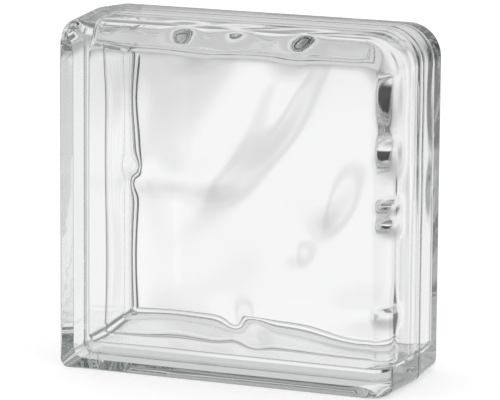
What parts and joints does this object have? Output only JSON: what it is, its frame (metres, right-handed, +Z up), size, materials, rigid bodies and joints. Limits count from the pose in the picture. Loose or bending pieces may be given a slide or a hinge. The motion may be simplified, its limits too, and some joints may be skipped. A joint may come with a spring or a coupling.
{
  "type": "glass block",
  "caption": "Square hollow glass block with wavy panes, a crowned finished side at the top and right, and mortar sides with a shallow bevelled key at the left and bottom.",
  "frame": {"origin": "middle of the block's foot, in the plane of the weld between its two halves", "axes": "+X to the right seen from the front, towards the finished side; the front face looks along -Y; +Z up, towards the finished top"},
  "size_m": [0.19, 0.08, 0.19],
  "materials": {
    "clear_glass": "clear soda-lime glass with a faint grey-green tint, pressed and fire-polished"
  },
  "bodies": {
    "root": {"front_half": "clear_glass", "rear_half": "clear_glass"}
  },
  "joints": []
}
